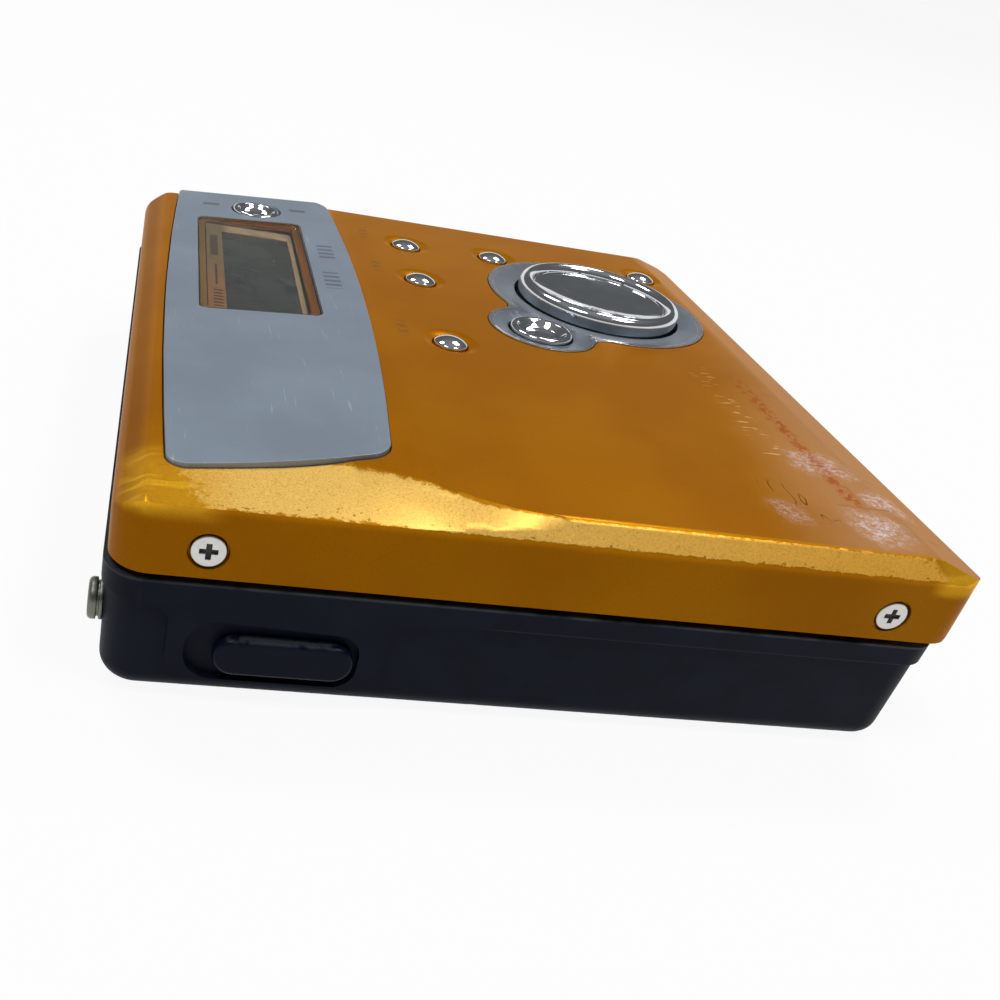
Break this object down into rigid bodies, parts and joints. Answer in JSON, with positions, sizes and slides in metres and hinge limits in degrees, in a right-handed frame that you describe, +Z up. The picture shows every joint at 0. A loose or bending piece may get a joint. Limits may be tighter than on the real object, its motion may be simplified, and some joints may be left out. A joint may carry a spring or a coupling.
{
  "type": "portable minidisc player",
  "caption": "Pocket disc player with a bevelled hinged lid, a long display panel, chrome keys and four-way control, over a dark base with a release slider.",
  "frame": {"origin": "on the underside, at the middle of the footprint", "axes": "+X right along the near face with the release slider, +Y away from it towards the sockets, +Z up"},
  "size_m": [0.0732, 0.0789, 0.0207],
  "materials": {
    "gold_paint": "metallic flake paint, satin gloss",
    "panel_grey": "satin blue-grey",
    "window_clear": "tinted clear plastic",
    "lcd_glass": "dark grey-green display",
    "satin_silver": "satin",
    "chrome": "polished",
    "nickel": "nickel plate",
    "steel": "pressed sheet",
    "navy_plastic": "satin moulded",
    "navy_gloss": "gloss moulded",
    "black_plastic": "moulded",
    "gear_white": "moulded",
    "board_green": "printed board",
    "key_rubber": "matt",
    "brass": "gilt",
    "battery_can": "sleeved can",
    "lens_glass": "coated"
  },
  "bodies": {
    "base": {"base_housing": "navy_plastic", "chassis_plate": "steel", "hinge_pins": "nickel", "spindle_motor": "steel", "main_board": "board_green", "headphone_jack": "black_plastic", "line_jack": "black_plastic", "power_jack": "black_plastic", "guide_rod": "nickel", "sled_motor": "steel", "battery": "battery_can", "battery_contacts": "brass", "base_screws": "nickel", "side_stud": "nickel"},
    "lid": {"lid_shell": "gold_paint", "display_panel": "panel_grey", "display_window": "window_clear", "lcd_module": "lcd_glass", "control_bezel": "satin_silver", "lid_frame": "steel", "key_board": "board_green", "key_sheet": "key_rubber", "lid_screws": "nickel", "gimbal_bracket": "steel"},
    "holder": {"disc_holder": "steel"},
    "slider": {"open_slider": "navy_gloss", "latch_plate": "steel"},
    "gimbal": {"gimbal_ring": "black_plastic"},
    "control": {"control_disc": "chrome"},
    "ring_key_body": {"ring_key": "chrome"},
    "panel_key_body": {"panel_key": "chrome"},
    "turntable_body": {"turntable": "black_plastic"},
    "sled": {"pickup_sled": "black_plastic", "objective_lens": "lens_glass"},
    "lead_screw_body": {"lead_screw": "nickel", "screw_gear": "gear_white"},
    "pinion_body": {"motor_pinion": "brass"},
    "door": {"battery_door": "navy_plastic", "door_contact": "brass"},
    "hold_body": {"hold_switch": "navy_gloss"},
    "record_body": {"record_switch": "navy_gloss"},
    "key_1_body": {"key_1": "chrome"},
    "key_2_body": {"key_2": "chrome"},
    "key_3_body": {"key_3": "chrome"},
    "key_4_body": {"key_4": "chrome"},
    "key_5_body": {"key_5": "chrome"}
  },
  "joints": [
    {"name": "lid_hinge", "type": "hinge", "parent": "base", "child": "lid", "pos_m": [0.0332, 0, 0.014], "axis": [0, 1, 0], "range_deg": [0, 40]},
    {"name": "holder_hinge", "type": "hinge", "parent": "base", "child": "holder", "pos_m": [0.0332, 0, 0.014], "axis": [0, 1, 0], "range_deg": [0, 20]},
    {"name": "slider_slide", "type": "slide", "parent": "base", "child": "slider", "axis": [-1, 0, 0], "range_m": [0, 0.002], "stiffness_N_per_m": 400},
    {"name": "control_tilt_x", "type": "hinge", "parent": "lid", "child": "gimbal", "pos_m": [0.0176, 0.0154, 0.01815], "axis": [1, 0, 0], "range_deg": [-2.5, 2.5], "stiffness_Nm_per_rad": 0.2},
    {"name": "control_tilt_y", "type": "hinge", "parent": "gimbal", "child": "control", "pos_m": [0.0176, 0.0154, 0.01815], "axis": [0, 1, 0], "range_deg": [-2.5, 2.5], "stiffness_Nm_per_rad": 0.2},
    {"name": "ring_key_press", "type": "slide", "parent": "lid", "child": "ring_key_body", "axis": [0, 0, -1], "range_m": [0, 0.0004], "stiffness_N_per_m": 1500},
    {"name": "panel_key_press", "type": "slide", "parent": "lid", "child": "panel_key_body", "axis": [0, 0, -1], "range_m": [0, 0.0004], "stiffness_N_per_m": 1500},
    {"name": "key_1_press", "type": "slide", "parent": "lid", "child": "key_1_body", "axis": [0, 0, -1], "range_m": [0, 0.0004], "stiffness_N_per_m": 1500},
    {"name": "key_2_press", "type": "slide", "parent": "lid", "child": "key_2_body", "axis": [0, 0, -1], "range_m": [0, 0.0004], "stiffness_N_per_m": 1500},
    {"name": "key_3_press", "type": "slide", "parent": "lid", "child": "key_3_body", "axis": [0, 0, -1], "range_m": [0, 0.0004], "stiffness_N_per_m": 1500},
    {"name": "key_4_press", "type": "slide", "parent": "lid", "child": "key_4_body", "axis": [0, 0, -1], "range_m": [0, 0.0004], "stiffness_N_per_m": 1500},
    {"name": "key_5_press", "type": "slide", "parent": "lid", "child": "key_5_body", "axis": [0, 0, -1], "range_m": [0, 0.0004], "stiffness_N_per_m": 1500},
    {"name": "turntable_spin", "type": "hinge", "parent": "base", "child": "turntable_body", "pos_m": [-0.001, 0, 0.0094], "axis": [0, 0, 1], "continuous": true},
    {"name": "sled_travel", "type": "slide", "parent": "base", "child": "sled", "axis": [0, -1, 0], "range_m": [0, 0.015]},
    {"name": "lead_screw_spin", "type": "hinge", "parent": "base", "child": "lead_screw_body", "pos_m": [-0.012, -0.02, 0.0052], "axis": [0, 1, 0], "range_deg": [-1, 1801]},
    {"name": "pinion_spin", "type": "hinge", "parent": "base", "child": "pinion_body", "pos_m": [-0.0165, -0.0075, 0.0052], "axis": [0, 1, 0], "range_deg": [-3602, 2]},
    {"name": "door_hinge", "type": "hinge", "parent": "base", "child": "door", "pos_m": [0.031, 0.03815, 0.005], "axis": [0, 0, -1], "range_deg": [0, 95]},
    {"name": "hold_slide", "type": "slide", "parent": "base", "child": "hold_body", "axis": [0, -1, 0], "range_m": [0, 0.002]},
    {"name": "record_slide", "type": "slide", "parent": "base", "child": "record_body", "axis": [0, -1, 0], "range_m": [0, 0.002]}
  ],
  "couplings": [
    {"joint": "holder_hinge", "follows": "lid_hinge", "ratio": 0.5},
    {"joint": "lead_screw_spin", "follows": "sled_travel", "rad_per_m": 2094.4},
    {"joint": "pinion_spin", "follows": "sled_travel", "rad_per_m": -4188.8}
  ]
}
